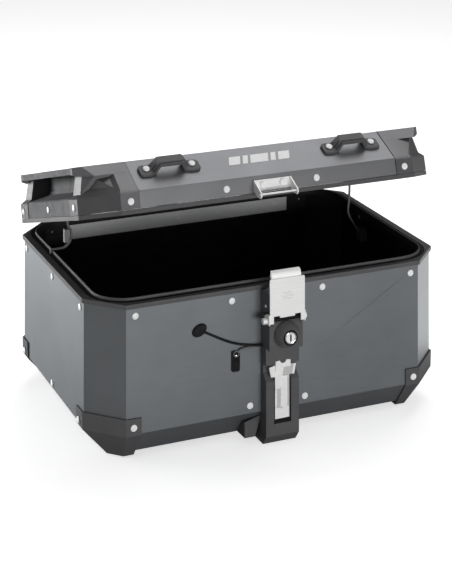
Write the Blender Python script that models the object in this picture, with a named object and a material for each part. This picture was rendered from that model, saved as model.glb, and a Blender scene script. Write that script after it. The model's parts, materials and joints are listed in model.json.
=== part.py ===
"""Motorcycle top case with a hinged lid, a centre latch and four tie-down handles.

Metres, +Z up. The origin is the centre of the underside of the mounting plate, so the case
stands on z = 0. +X runs along the case's width and -Y points out of the latch side.
The lid is drawn closed and then swung open about its hinge pin by LID_OPEN.
"""
import bpy
import bmesh
from math import cos, pi, radians, sin
from mathutils import Matrix, Vector

# ---- driving dimensions -------------------------------------------------------------------
WIDTH = 0.595                 # over the rim, along X
DEPTH = 0.420                 # over the rim, along Y
CHAMFER_X = 0.051             # corner cut of the plan, measured along X
CHAMFER_Y = 0.053             # corner cut of the plan, measured along Y
FLOOR_Z = 0.0095              # underside of the case above the mounting plate's underside
BEVEL_TOP = 0.047             # where the slanted foot of the panels meets the upright part
BEVEL_IN = 0.030              # how far the slanted foot runs inward on the front and back
BEVEL_IN_SIDE = 0.0341        # the same on the ends
BEVEL_IN_CORNER = 0.0261      # the same on the cut corners
RIM_BOTTOM = 0.234
RIM_TOP = 0.241
PANEL_INSET = 0.0034          # panels stand this far inside the rim's edge
SHEET = 0.0015                # aluminium sheet
GAP = 0.0004                  # clearance between neighbouring pieces
OPEN_X = 0.2755               # half width of the mouth
OPEN_Y = 0.1905               # half depth of the mouth
OPEN_R = 0.050                # corner radius of the mouth
LIP = 0.0025                  # width of the raised lip round the mouth
LIP_RISE = 0.0035
GROOVE = 0.0075               # width of the gasket groove

LID_OPEN = radians(17.3)      # how far the lid stands open at rest
HINGE_Y = 0.2164
HINGE_Z = 0.2494
HINGE_BORE = 0.0024
LID_BOTTOM = RIM_TOP + GAP
LID_RIM_TOP = 0.248           # top of the lid's frame
LID_FOLD = 0.2735             # where the upright band meets the slope
LID_TOP = 0.3178
LID_SLOPE = 0.052             # how far the slope runs inward
CAP_X = 0.2166                # joint between the sheet and the corner caps, on the front and back
CAP_SIDE = 0.116              # the same joint on the ends
NOSE_Y = 0.136                # inner end of a cap's nose, along the end of the lid
HEM = 0.0100                  # height of the turned-down edge of the top plate
CAP_WALL = 0.0030

RIVET_X = (-0.2310, -0.0760, 0.0760, 0.2310)
RIVET_HEAD = 0.0047
RIVET_RISE = 0.0020
RIVET_SHANK = 0.0020
RIVET_HOLE = 0.0024
RIVET_SIDES = 10
BODY_RIVET_Z = 0.2225
FOOT_RIVET_Z = 0.0590
LID_RIVET_Z = 0.2595
SIDE_RIVET_Y = (-0.1400, 0.0, 0.1400)

GUARD_TOP = 0.072
GUARD_X = 0.2216              # inner edge of a corner guard on the front and back
GUARD_Y = 0.129               # inner edge of a corner guard on the ends
GUARD_LOW = 0.0025            # underside of the corner guards, which double as feet
GUARD_WALL = 0.0030

PANEL_Y = -(DEPTH / 2 - PANEL_INSET)     # plane of the front panel
LATCH_HALF = 0.0278                      # half width of the latch housing
LEVER_PIVOT = Vector((0, PANEL_Y - 0.0280, 0.1950))
HOOK_PIVOT = Vector((0, PANEL_Y - 0.0300, 0.2440))
LOCK_CENTRE = Vector((0, PANEL_Y - 0.0320, 0.1720))
RELEASE_PIVOT = Vector((0, PANEL_Y - 0.0090, 0.0430))
LOCK_R = 0.0092
COVER_BACK = 0.0350                      # depths in front of the panel of the lever's cover plate
COVER_FRONT = 0.0370
CHEEK_IN = 0.0263                        # the bracket's cheeks, from and to, along X
CHEEK_OUT = 0.0283
LUG_IN = 0.0287                          # the lever's lugs, from and to, along X
LUG_OUT = 0.0304
STEM_HALF = 0.0124                       # half width of the release lever's stem
CORD_R = 0.0014
STRAP_R = 0.0016
STAY_R = 0.0016


# ---- materials ----------------------------------------------------------------------------
def material(name, colour, roughness, metallic):
    made = bpy.data.materials.new(name)
    made.use_nodes = True
    shader = made.node_tree.nodes["Principled BSDF"]
    shader.inputs["Base Color"].default_value = (*colour, 1)
    shader.inputs["Roughness"].default_value = roughness
    shader.inputs["Metallic"].default_value = metallic
    return made


# ---- solids -------------------------------------------------------------------------------
def temp(bm, name="temp"):
    """Turn a bmesh into a linked object with its faces pointing out."""
    bmesh.ops.recalc_face_normals(bm, faces=bm.faces)
    mesh = bpy.data.meshes.new(name)
    bm.to_mesh(mesh)
    bm.free()
    obj = bpy.data.objects.new(name, mesh)
    bpy.context.scene.collection.objects.link(obj)
    return obj


def loft(rings):
    """Closed solid through rings of equal point count, capped at both ends."""
    bm = bmesh.new()
    rows = [[bm.verts.new(p) for p in ring] for ring in rings]
    count = len(rows[0])
    for lower, upper in zip(rows, rows[1:]):
        for i in range(count):
            j = (i + 1) % count
            bm.faces.new((lower[i], lower[j], upper[j], upper[i]))
    bm.faces.new(rows[0][::-1])
    bm.faces.new(rows[-1])
    return temp(bm)


def hoop(rings):
    """Closed ring solid: the last ring joins back to the first."""
    bm = bmesh.new()
    rows = [[bm.verts.new(p) for p in ring] for ring in rings]
    count = len(rows[0])
    for lower, upper in zip(rows, rows[1:] + rows[:1]):
        for i in range(count):
            j = (i + 1) % count
            bm.faces.new((lower[i], lower[j], upper[j], upper[i]))
    return temp(bm)


def hull(points):
    """Convex solid round a set of points."""
    bm = bmesh.new()
    verts = [bm.verts.new(p) for p in points]
    result = bmesh.ops.convex_hull(bm, input=verts)
    left_over = result["geom_interior"] + result["geom_unused"]
    loose = {v for v in left_over if isinstance(v, bmesh.types.BMVert)}
    bmesh.ops.delete(bm, geom=list(loose), context="VERTS")
    bmesh.ops.dissolve_limit(bm, angle_limit=radians(0.5), verts=bm.verts, edges=bm.edges)
    return temp(bm)


def box(low, high):
    xs, ys, zs = zip(low, high)
    return hull([(x, y, z) for x in xs for y in ys for z in zs])


def slab(outline, axis, low, high):
    """Extrude an outline along X, Y or Z. The outline holds the other two coordinates in order."""
    def place(pair, along):
        values = list(pair)
        values.insert("XYZ".index(axis), along)
        return tuple(values)
    return loft([[place(p, low) for p in outline], [place(p, high) for p in outline]])


def lathe(profile, sides, axis="Z", centre=(0, 0, 0)):
    """Solid of revolution from (radius, height) pairs; the first and last points are on the axis."""
    bm = bmesh.new()
    poles = [bm.verts.new((0, 0, profile[0][1])), bm.verts.new((0, 0, profile[-1][1]))]
    rows = [[bm.verts.new((r * cos(2 * pi * (i + 0.5) / sides), r * sin(2 * pi * (i + 0.5) / sides), h))
             for i in range(sides)] for r, h in profile[1:-1]]
    for i in range(sides):
        j = (i + 1) % sides
        bm.faces.new((poles[0], rows[0][i], rows[0][j]))
        bm.faces.new((poles[1], rows[-1][j], rows[-1][i]))
        for lower, upper in zip(rows, rows[1:]):
            bm.faces.new((lower[i], lower[j], upper[j], upper[i]))
    bmesh.ops.dissolve_limit(bm, angle_limit=radians(0.5), verts=bm.verts, edges=bm.edges)
    turn = {"X": Matrix.Rotation(pi / 2, 4, "Y"), "Y": Matrix.Rotation(pi / 2, 4, "X"), "Z": Matrix()}[axis]
    bm.transform(Matrix.Translation(centre) @ turn)
    return temp(bm)


def rod(radius, low, high, sides=16, axis="Z", centre=(0, 0, 0)):
    return lathe([(0, low), (radius, low), (radius, high), (0, high)], sides, axis, centre)


def tube_along(points, radius, sides=6):
    """Round bar through a list of points, with flat ends."""
    rings = []
    for i, point in enumerate(points):
        before, after = Vector(points[max(i - 1, 0)]), Vector(points[min(i + 1, len(points) - 1)])
        turn = (after - before).to_track_quat("Z", "X").to_matrix()
        rings.append([Vector(point) + turn @ Vector((radius * cos(2 * pi * k / sides),
                                                     radius * sin(2 * pi * k / sides), 0))
                      for k in range(sides)])
    return loft(rings)


def apply(base, tool, operation):
    """Boolean of two solids; the tool is used up."""
    modifier = base.modifiers.new("boolean", "BOOLEAN")
    modifier.operation = operation
    modifier.solver = "EXACT"
    modifier.object = tool
    graph = bpy.context.evaluated_depsgraph_get()
    mesh = bpy.data.meshes.new_from_object(base.evaluated_get(graph))
    base.modifiers.clear()
    base.data = mesh
    bpy.data.objects.remove(tool)
    return base


def join(base, *tools):
    for tool in tools:
        apply(base, tool, "UNION")
    return base


def cut(base, *tools):
    for tool in tools:
        apply(base, tool, "DIFFERENCE")
    return base


def keep(base, tool):
    return apply(base, tool, "INTERSECT")


def tidy(mesh):
    """Weld the seams a boolean leaves and merge coplanar faces."""
    bm = bmesh.new()
    bm.from_mesh(mesh)
    bmesh.ops.remove_doubles(bm, verts=bm.verts, dist=2e-6)
    bmesh.ops.dissolve_degenerate(bm, dist=1e-6, edges=bm.edges)
    bmesh.ops.dissolve_limit(bm, angle_limit=radians(0.1), verts=bm.verts, edges=bm.edges)
    bm.to_mesh(mesh)
    bm.free()


def piece(name, obj, finish, pivot=None, round_edges=None):
    """Name a finished solid, give it its material and hang it on its pivot."""
    tidy(obj.data)
    obj.name = name
    obj.data.name = name
    obj.data.materials.clear()
    obj.data.materials.append(finish)
    if round_edges:
        obj.data.shade_smooth()
        obj.data.set_sharp_from_angle(angle=radians(round_edges))
    if pivot:
        obj.data.transform(Matrix.Translation(-Vector(pivot["at"])))
        obj.parent = pivot
    return obj


def pivot_point(name, at, parent=None):
    """Empty on a joint's axis; moving pieces hang on it."""
    empty = bpy.data.objects.new(name, None)
    bpy.context.scene.collection.objects.link(empty)
    empty["at"] = tuple(at)
    empty.location = Vector(at) - (Vector(parent["at"]) if parent else Vector())
    empty.parent = parent
    return empty


def copy_mirrored(name, source, axes):
    """Mirror image of a finished piece in X, Y or both, about the case's centre planes."""
    scale = Matrix.Diagonal((-1 if "X" in axes else 1, -1 if "Y" in axes else 1, 1, 1))
    obj = bpy.data.objects.new(name, source.data.copy())
    bpy.context.scene.collection.objects.link(obj)
    offset = Matrix.Translation(Vector(source.parent["at"])) if source.parent else Matrix()
    obj.data.transform(offset.inverted() @ scale @ offset)
    if len(axes) == 1:
        obj.data.flip_normals()
    obj.data.name = name
    obj.parent = source.parent
    return obj


# ---- outlines -----------------------------------------------------------------------------
def octagon(inset, z):
    """The case's plan at a height: a rectangle with cut corners, moved inward by inset."""
    hx, hy = WIDTH / 2 - inset, DEPTH / 2 - inset
    cx, cy = CHAMFER_X - 0.586 * inset, CHAMFER_Y - 0.586 * inset
    corners = [(hx - cx, hy), (hx, hy - cy)]
    plan = corners + [(x, -y) for x, y in corners[::-1]]
    plan += [(-x, y) for x, y in plan[::-1]]
    return [(x, y, z) for x, y in plan]


def mouth(grow, z, steps=6):
    """Rounded rectangle of the case's mouth, moved outward by grow."""
    points = []
    for sx, sy, start in ((1, 1, 0), (-1, 1, 1), (-1, -1, 2), (1, -1, 3)):
        for i in range(steps + 1):
            angle = (start + i / steps) * pi / 2
            points.append((sx * (OPEN_X - OPEN_R) + (OPEN_R + grow) * cos(angle),
                           sy * (OPEN_Y - OPEN_R) + (OPEN_R + grow) * sin(angle), z))
    return points


def shell_ring(z, grow=0.0):
    """Outline of the sheet shell at a height, moved outward by grow; below BEVEL_TOP the walls lean in."""
    run = max(0.0, (BEVEL_TOP - z) / (BEVEL_TOP - FLOOR_Z))
    length = (CHAMFER_X ** 2 + CHAMFER_Y ** 2) ** 0.5
    nx, ny = CHAMFER_Y / length, CHAMFER_X / length
    hx = WIDTH / 2 - PANEL_INSET + grow - run * BEVEL_IN_SIDE
    hy = DEPTH / 2 - PANEL_INSET + grow - run * BEVEL_IN
    away = nx * WIDTH / 2 + ny * (DEPTH / 2 - CHAMFER_Y) - PANEL_INSET + grow - run * BEVEL_IN_CORNER
    corners = [((away - ny * hy) / nx, hy), (hx, (away - nx * hx) / ny)]
    plan = corners + [(x, -y) for x, y in corners[::-1]]
    plan += [(-x, y) for x, y in plan[::-1]]
    return [(x, y, z) for x, y in plan]


def wall_profile(outset):
    """Rings of the case's outside, moved outward by outset, from the floor to the rim."""
    return [shell_ring(z, outset) for z in (FLOOR_Z, BEVEL_TOP, RIM_BOTTOM - GAP)]


# ---- rivets -------------------------------------------------------------------------------
def rivet(point, outward, depth):
    """Domed rivet standing on point, with a shank that runs inward by depth."""
    r, h = RIVET_HEAD, RIVET_RISE
    profile = [(0, h), (0.6 * r, 0.85 * h), (r, 0.1 * h), (r, 0), (RIVET_SHANK, 0),
               (RIVET_SHANK, -depth), (0, -depth)]
    turn = Vector((0, 0, 1)).rotation_difference(Vector(outward)).to_matrix().to_4x4()
    obj = lathe(profile[::-1], RIVET_SIDES)
    obj.data.transform(Matrix.Translation(point) @ turn)
    return obj


def rivet_holes(points, outward, reach=0.012):
    """Cutters for the clearance holes of a row of rivets."""
    turn = Vector((0, 0, 1)).rotation_difference(Vector(outward)).to_matrix().to_4x4()
    holes = []
    for point in points:
        hole = rod(RIVET_HOLE, -reach, reach / 2, RIVET_SIDES)
        hole.data.transform(Matrix.Translation(point) @ turn)
        holes.append(hole)
    return holes


WALLS = {"front": Vector((0, -1, 0)), "rear": Vector((0, 1, 0)),
         "left": Vector((-1, 0, 0)), "right": Vector((1, 0, 0))}


def on_wall(side, along, z, outset=0.0):
    """Point on one of the four upright walls."""
    normal = WALLS[side]
    half = (DEPTH if normal.y else WIDTH) / 2 - PANEL_INSET + outset
    base = normal * half
    return Vector((along, base.y, z)) if normal.y else Vector((base.x, along, z))


def strip(side, along, z, near, far, half_height):
    """Backing bar inside a wall, between two depths behind the wall's face."""
    a, b = on_wall(side, min(along), z, -near), on_wall(side, max(along), z, -far)
    low = Vector(min(p, q) for p, q in zip(a, b))
    high = Vector(max(p, q) for p, q in zip(a, b))
    rise = Vector((0, 0, half_height))
    return box(low - rise, high + rise)


# ---- case ---------------------------------------------------------------------------------
def body_shell(finish):
    outside = wall_profile(0)
    inside = [shell_ring(FLOOR_Z + SHEET, -1.3 * SHEET), shell_ring(BEVEL_TOP, -1.3 * SHEET),
              shell_ring(BEVEL_TOP + 0.001, -SHEET), shell_ring(RIM_BOTTOM - GAP, -SHEET)]
    shell = loft(outside + inside[::-1])
    for side in WALLS:
        for row in (top_row(side), foot_row(side)):
            cut(shell, *rivet_holes(row, WALLS[side]))
    return piece("body_shell", shell, finish)


def top_row(side):
    along = RIVET_X if side in ("front", "rear") else SIDE_RIVET_Y
    return [on_wall(side, a, BODY_RIVET_Z) for a in along]


def foot_row(side):
    """Two or one rivets on the panel and the two that hold the corner guards."""
    if side in ("front", "rear"):
        return [on_wall(side, a, FOOT_RIVET_Z) for a in (-0.2345, -0.0460, 0.0460, 0.2345)]
    return [on_wall(side, a, FOOT_RIVET_Z - 0.004) for a in (-0.1420, 0.0, 0.1420)]


def body_rivets(side, finish):
    """Rivets of one wall: the rim row on its bar, and the foot row on its bar."""
    normal = WALLS[side]
    skirt = SHEET + GAP + 0.003
    row = top_row(side)
    ends = [p.x if normal.y else p.y for p in row]
    ends = [min(ends) - 0.008, max(ends) + 0.008]
    top = strip(side, ends, BODY_RIVET_Z, skirt + GAP, skirt + 0.003, 0.005)
    join(top, *[rivet(p + normal * GAP, normal, skirt + 0.002) for p in row])
    piece(f"rivets_{side}_rim", top, finish, round_edges=35)

    row = foot_row(side)
    ends = [p.x if normal.y else p.y for p in row]
    ends = [min(ends) - 0.006, max(ends) + 0.006]
    foot = strip(side, ends, row[0].z, SHEET + GAP, SHEET + 0.0025, 0.005)
    for p in row:
        at_end = abs(p.x if normal.y else p.y) > 0.12
        stand = GUARD_WALL + 2 * GAP if at_end else GAP
        join(foot, rivet(p + normal * stand, normal, SHEET + stand + 0.001))
    piece(f"rivets_{side}_foot", foot, finish, round_edges=35)


def rim_frame(finish):
    """Frame round the mouth: outer flange, gasket groove, raised lip and riveted skirt."""
    frame = loft([octagon(0, RIM_BOTTOM), octagon(0, RIM_TOP)])
    cut(frame, loft([mouth(0, RIM_BOTTOM - 0.01), mouth(0, RIM_TOP + 0.01)]))
    join(frame, hoop([mouth(0, RIM_TOP - 0.001), mouth(LIP, RIM_TOP - 0.001),
                      mouth(LIP, RIM_TOP + LIP_RISE), mouth(0, RIM_TOP + LIP_RISE)]))
    cut(frame, hoop([mouth(LIP, RIM_TOP - 0.003), mouth(LIP + GROOVE, RIM_TOP - 0.003),
                     mouth(LIP + GROOVE, RIM_TOP + 0.02), mouth(LIP, RIM_TOP + 0.02)]))
    outer, inner = PANEL_INSET + SHEET + GAP, PANEL_INSET + SHEET + GAP + 0.003
    join(frame, hoop([octagon(outer, RIM_BOTTOM - 0.019), octagon(outer, RIM_BOTTOM + 0.001),
                      octagon(inner, RIM_BOTTOM + 0.001), octagon(inner, RIM_BOTTOM - 0.019)]))
    for side in WALLS:
        cut(frame, *rivet_holes(top_row(side), WALLS[side]))
    return piece("rim_frame", frame, finish)


def rim_gasket(finish):
    low, high = RIM_TOP - 0.003 + GAP, RIM_TOP - GAP
    a, b = LIP + GAP, LIP + GROOVE - GAP
    return piece("rim_gasket", hoop([mouth(a, low), mouth(b, low), mouth(b, high), mouth(a, high)]), finish)


def corner_guard(finish):
    """Moulded guard over one bottom corner, wrapped round the shell and under the floor."""
    proud = GUARD_WALL + GAP
    outer = loft([shell_ring(z, proud) for z in (GUARD_LOW, BEVEL_TOP - 0.001, GUARD_TOP)])
    reach_x, reach_y = WIDTH / 2 + 0.02, DEPTH / 2 + 0.02
    keep(outer, box((GUARD_X, -reach_y, -0.02), (reach_x, -GUARD_Y, GUARD_TOP + 0.01)))
    cut(outer, loft([shell_ring(z, GAP) for z in (FLOOR_Z - GAP, BEVEL_TOP, GUARD_TOP + 0.02)]))
    for side in ("front", "right"):
        cut(outer, *rivet_holes(foot_row(side), WALLS[side]))
    return piece("corner_guard_front_right", outer, finish)


def mounting_plate(finish):
    """Flat moulded plate under the floor that sits on the carrier."""
    plate = hull([(sx * x, sy * y, z) for sx in (-1, 1) for sy in (-1, 1)
                  for x, y in ((0.120, 0.110), (0.095, 0.135)) for z in (0, FLOOR_Z - GAP)])
    for side in (-1, 1):
        a, b = sorted((side * 0.030, side * 0.085))
        cut(plate, box((a, -0.080, -0.01), (b, 0.080, 0.006)))
    return piece("mounting_plate", plate, finish)


def floor_mat(finish):
    low, high = FLOOR_Z + SHEET + GAP, FLOOR_Z + SHEET + 0.004
    return piece("floor_mat", loft([shell_ring(low, -0.006), shell_ring(high, -0.006)]), finish)


def hinge_leaf(starts, length, knuckle_z, far_z):
    """Comb-shaped leaf: a plate with a tab and a knuckle at each start."""
    wall = DEPTH / 2 + GAP
    near_z = far_z + 0.55 * (knuckle_z - far_z)
    outline = [(starts[0], far_z)]
    for start in starts:
        end = start + length
        outline += [(start, near_z), (start, knuckle_z), (end, knuckle_z), (end, near_z)]
    outline = outline[:1] + outline[2:-1] + [(starts[-1] + length, far_z)]
    leaf = slab(outline, "Y", wall, wall + 0.002)
    for start in starts:
        join(leaf, rod(0.0045, start, start + length, 14, "X", (0, HINGE_Y, HINGE_Z)))
    return cut(leaf, rod(HINGE_BORE, -0.3, 0.3, 14, "X", (0, HINGE_Y, HINGE_Z)))


def hinge_parts(steel, lid):
    """Two leaves with interleaved knuckles on one long pin."""
    pitch, length = 0.160, 0.0395
    body_starts = [-0.200 + i * pitch for i in range(3)]
    lid_starts = [start + 0.0400 for start in body_starts]
    body = hinge_leaf(body_starts, length, HINGE_Z, BODY_RIVET_Z - 0.018)
    cut(body, *rivet_holes([p + Vector((0, 0.004, 0)) for p in top_row("rear")], WALLS["rear"]))
    piece("hinge_body_leaf", body, steel, round_edges=35)
    leaf = hinge_leaf(lid_starts, length, HINGE_Z, LID_FOLD - 0.0020)
    cut(leaf, *rivet_holes([p + Vector((0, 0.004, 0)) for p in lid_row("rear")], WALLS["rear"]))
    piece("hinge_lid_leaf", leaf, steel, pivot=lid, round_edges=35)
    pin = rod(HINGE_BORE - 0.0003, -0.203, 0.203, 14, "X", (0, HINGE_Y, HINGE_Z))
    piece("hinge_pin", pin, steel, round_edges=35)


def stay_anchor(side, finish):
    """Small moulded block inside the end wall that holds the lower end of a lid stay."""
    sign = -1 if side == "left" else 1
    near = WIDTH / 2 - PANEL_INSET - SHEET - 0.0085
    block = box((sign * near if sign > 0 else -near, 0.040, 0.190), (sign * (near - 0.012), 0.058, 0.212))
    return piece(f"stay_anchor_{side}", block, finish)


def tether(finish, clip_finish):
    """Rubber cord from the lock to the panel with a plug at its end, and the strap with a clip."""
    y = PANEL_Y - 0.0022
    start = -LATCH_HALF - 0.0010
    hang = [(start, 0.1503), (-0.0434, 0.1515), (-0.0534, 0.1531), (-0.0666, 0.1565), (-0.0797, 0.1613),
            (-0.0961, 0.1692), (-0.1124, 0.1781), (-0.1270, 0.1855)]
    points = [Vector((x, y, z)) for x, z in hang]
    piece("tether_cord", tube_along(points, CORD_R, 6), finish, round_edges=50)
    path = [(start, y, 0.1440), (-0.0500, y, 0.1425), (-0.0660, y, 0.1405), (-0.0705, y, 0.1350)]
    strap = tube_along(path, STRAP_R, 6)
    join(strap, box((-0.0765, y - STRAP_R, 0.1150), (-0.0645, y + STRAP_R, 0.1380)))
    piece("tether_clip", strap, clip_finish, round_edges=50)


# ---- latch --------------------------------------------------------------------------------
def out(depth):
    """Y of a point this far in front of the front panel."""
    return PANEL_Y - depth


def side_view(points, x_low, x_high):
    """Block drawn from the side: points are (distance in front of the panel, height)."""
    return slab([(out(d), z) for d, z in points], "X", x_low, x_high)


def latch_bracket(finish):
    """Folded bracket on the panel whose two cheeks flank the lever."""
    cheek = [(GAP, 0.2006), (0.0100, 0.2006), (0.0335, 0.2110), (0.0335, 0.2460), (0.0060, 0.2350),
             (0.0042, 0.2350), (0.0042, 0.2325), (GAP, 0.2325)]
    bracket = side_view(cheek, -CHEEK_OUT, -CHEEK_IN)
    join(bracket, side_view(cheek, CHEEK_IN, CHEEK_OUT))
    back = [(GAP, 0.2006), (0.0024, 0.2006), (0.0024, 0.2325), (GAP, 0.2325)]
    join(bracket, side_view(back, -CHEEK_OUT, CHEEK_OUT))
    cut(bracket, *rivet_holes(top_row("front"), WALLS["front"]))
    return piece("latch_bracket", bracket, finish)


def lock_block(finish):
    """Moulded block that carries the lever's bolt and the key lock, with a step under it."""
    block = side_view([(GAP, 0.1225), (0.019, 0.1225), (0.019, 0.1495), (0.032, 0.1495), (0.032, 0.1890),
                       (0.0245, 0.2000), (GAP, 0.2000)], -LATCH_HALF, LATCH_HALF)
    bolt = rod(0.0033, -0.05, 0.05, 14, "X", LEVER_PIVOT)
    bore = rod(LOCK_R + 0.0004, -0.016, 0.02, 20, "Y", LOCK_CENTRE)
    room = rod(0.0170, -0.0210, -0.0145, 20, "Y", LOCK_CENTRE)
    cut(block, bolt, bore, room)
    leg_room = [(0.0340, 0.1830), (0.0340, 0.2010), (0.0220, 0.2010)]
    cut(block, side_view(leg_room, -0.0300, -0.0215), side_view(leg_room, 0.0215, 0.0300))
    return piece("lock_block", block, finish)


def lock_parts(plastic, chrome, turning):
    """Conical boss on the block, the key cylinder in it and the cam behind it."""
    def along_y(profile, sides):
        obj = lathe(profile, sides)
        turn = Vector((0, 0, 1)).rotation_difference(Vector((0, -1, 0))).to_matrix().to_4x4()
        obj.data.transform(Matrix.Translation(LOCK_CENTRE) @ turn)
        return obj
    boss = along_y([(0, GAP), (0.0205, GAP), (0.0200, 0.004), (0.0150, 0.0130), (0.0125, 0.0150),
                    (0.0120, 0.0165), (0, 0.0165)], 28)
    cut(boss, along_y([(0, -0.01), (LOCK_R + 0.0004, -0.01), (LOCK_R + 0.0004, 0.03), (0, 0.03)], 28))
    piece("lock_boss", boss, plastic, round_edges=40)
    cylinder = along_y([(0, -0.0150), (LOCK_R, -0.0150), (LOCK_R, 0.0155), (LOCK_R - 0.0008, 0.0163),
                        (0, 0.0163)], 24)
    front = LOCK_CENTRE.y - 0.0163
    cut(cylinder, box((-0.0014, front - 0.002, LOCK_CENTRE.z - 0.0055),
                      (0.0014, front + 0.008, LOCK_CENTRE.z + 0.0055)))
    piece("lock_cylinder", cylinder, chrome, pivot=turning, round_edges=40)
    back = LOCK_CENTRE.y + 0.0154
    cam = box((-0.005, back, LOCK_CENTRE.z - 0.005), (0.005, back + 0.003, LOCK_CENTRE.z + 0.015))
    piece("lock_cam", cam, chrome, pivot=turning)


def latch_lever(steel, pivot):
    """Steel cover plate that swings out on the bolt, with two legs and two lugs."""
    half, low, high = 0.0290, 0.2000, 0.2590
    clip = 0.0015
    plate = [(-half, low), (half, low), (half, high - clip), (half - clip, high),
             (-half + clip, high), (-half, high - clip)]
    lever = slab([(x, z) for x, z in plate], "Y", out(COVER_BACK), out(COVER_FRONT))
    for sign in (-1, 1):
        leg = [(sign * x, z) for x, z in
               ((0.0225, 0.1920), (LUG_OUT, 0.1920), (LUG_OUT, 0.2060), (0.0225, 0.2060))]
        join(lever, slab(leg, "Y", out(COVER_BACK), out(COVER_FRONT)))
        notch = [(sign * x, z) for x, z in
                 ((0.0125, 0.19), (0.0225, 0.19), (0.0225, 0.2030), (0.0125, 0.2030))]
        cut(lever, slab(notch, "Y", out(0.03), out(0.04)))
        a, b = sorted((sign * LUG_IN, sign * LUG_OUT))
        join(lever, side_view([(0.0190, 0.1900), (0.0370, 0.1900), (0.0370, 0.2060), (0.0300, 0.2060),
                               (0.0190, 0.2000)], a, b))
    cut(lever, rod(0.0033, -0.05, 0.05, 14, "X", LEVER_PIVOT))
    return piece("latch_lever", lever, steel, pivot=pivot)


def pivot_bolt(finish):
    bolt = rod(0.0029, -0.034, 0.034, 14, "X", LEVER_PIVOT)
    join(bolt, rod(0.0048, -0.0375, -0.0308, 14, "X", LEVER_PIVOT),
         rod(0.0048, 0.0308, 0.0345, 14, "X", LEVER_PIVOT))
    return piece("pivot_bolt", bolt, finish, round_edges=35)


def latch_hook(steel, pivot):
    """Hook behind the lever's top edge that pulls down on the striker rod."""
    profile = [(0.0325, 0.2418), (0.0345, 0.2418), (0.0345, 0.2610), (0.0320, 0.2670), (0.0270, 0.2692),
               (0.0270, 0.2674), (0.0310, 0.2655), (0.0325, 0.2600)]
    hook = side_view(profile, -0.0240, 0.0240)
    cheek = [(0.0270, 0.2692), (0.0270, 0.2590), (0.0330, 0.2480), (0.0345, 0.2480), (0.0345, 0.2610),
             (0.0320, 0.2670)]
    link = [(0.0295, 0.2425), (0.0335, 0.2425), (0.0335, 0.2455), (0.0295, 0.2455)]
    join(hook, side_view(cheek, -0.0240, -0.0225), side_view(cheek, 0.0225, 0.0240))
    join(hook, rod(0.0022, -0.0250, 0.0250, 12, "X", HOOK_PIVOT),
         side_view(link, -0.0230, 0.0230))
    return piece("latch_hook", hook, steel, pivot=pivot)


def lower_block(finish):
    """Moulded block that wraps round the foot bevel, with a slot for the release lever."""
    profile = [(GAP, 0.1221 - GAP), (0.008, 0.1221 - GAP), (0.008, 0.1090), (0.0194, 0.0975),
               (0.0194, 0.0150), (0.0070, 0.0), (-0.0450, 0.0), (-0.0450, FLOOR_Z - GAP),
               (-0.0296, FLOOR_Z - GAP), (GAP, BEVEL_TOP)]
    block = side_view(profile, -0.0275, 0.0275)
    foot = [(x, out(d), z) for x in (-0.0545, -0.0372)
            for d, z in ((0, 0.0105), (0, 0.0345), (-0.0290, 0.0095), (-0.0120, 0.0303))]
    foot += [(-0.0260, out(d), z) for d, z in ((-0.0290, 0.0095), (-0.0040, 0.0405), (-0.006, 0.0345))]
    join(block, hull(foot))
    join(block, side_view([(0, 0.0345), (0, 0.0455), (-0.0290, 0.0095), (-0.0180, 0.0095)], 0.0260, 0.0300))
    cut(block, box((-0.0143, out(0.0300), 0.0330), (0.0143, out(0.0040), 0.13)))
    cut(block, rod(0.0026, -0.0190, 0.0190, 12, "X", RELEASE_PIVOT))
    cut(block, box((-0.0083, out(0.0030), 0.0017), (0.0083, out(-0.0500), 0.0067)))
    cut(block, box((-0.0120, out(-0.0220), -0.001), (0.0120, out(-0.0500), 0.0070)))
    return piece("lower_block", block, finish)


def release_lever(finish, pivot):
    """T-shaped lever whose stem sits in the slot and whose wings are pulled outward."""
    stem = [(0.0120, 0.0500), (0.0060, 0.0450), (0.0060, 0.0400), (0.0110, 0.0385), (0.0150, 0.0385),
            (0.0184, 0.0430), (0.0184, 0.1090), (0.0120, 0.1090)]
    lever = side_view(stem, -STEM_HALF, STEM_HALF)
    wings = [(-0.0225, 0.1195), (-0.0165, 0.1040), (0.0165, 0.1040), (0.0225, 0.1195),
             (STEM_HALF, 0.1215), (-STEM_HALF, 0.1215)]
    join(lever, slab(wings, "Y", out(0.0140), out(0.0190)))
    crown = [(-STEM_HALF, 0.1100), (STEM_HALF, 0.1100), (STEM_HALF, 0.1285), (0.0060, 0.1285),
             (0.0030, 0.1245), (-0.0030, 0.1245), (-0.0060, 0.1285), (-STEM_HALF, 0.1285)]
    join(lever, slab(crown, "Y", out(0.0196), out(0.0216)))
    join(lever, box((-STEM_HALF, out(0.0200), 0.1050), (STEM_HALF, out(0.0170), 0.1190)))
    cut(lever, box((-0.0095, out(0.0200), 0.0500), (0.0095, out(0.0160), 0.0660)))
    join(lever, box((-0.0022, out(0.0184), 0.0490), (0.0022, out(0.0150), 0.0670)))
    join(lever, rod(0.0022, -0.0180, 0.0180, 12, "X", RELEASE_PIVOT))
    return piece("release_lever", lever, finish, pivot=pivot)


def release_bolt(steel, pivot):
    """Flat bolt behind the lever that catches the carrier's lug."""
    bolt = box((-0.0078, out(-0.0060), 0.0022), (0.0078, out(-0.0400), 0.0062))
    return piece("release_bolt", bolt, steel, pivot=pivot)


# ---- lid (drawn closed) -------------------------------------------------------------------
LID_INSET = 0.0012                       # sheet and end panels stand this far inside the frame
SLOPE_DIR = Vector((0, LID_SLOPE, LID_TOP - LID_FOLD)).normalized()
SLOPE_OUT = Vector((0, -SLOPE_DIR.z, SLOPE_DIR.y))
HANDLE_UP = 0.0405                       # middle of a handle's feet, measured up the slope
HANDLE_X = 0.1546
HANDLE_RIVET = 0.0372


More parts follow.
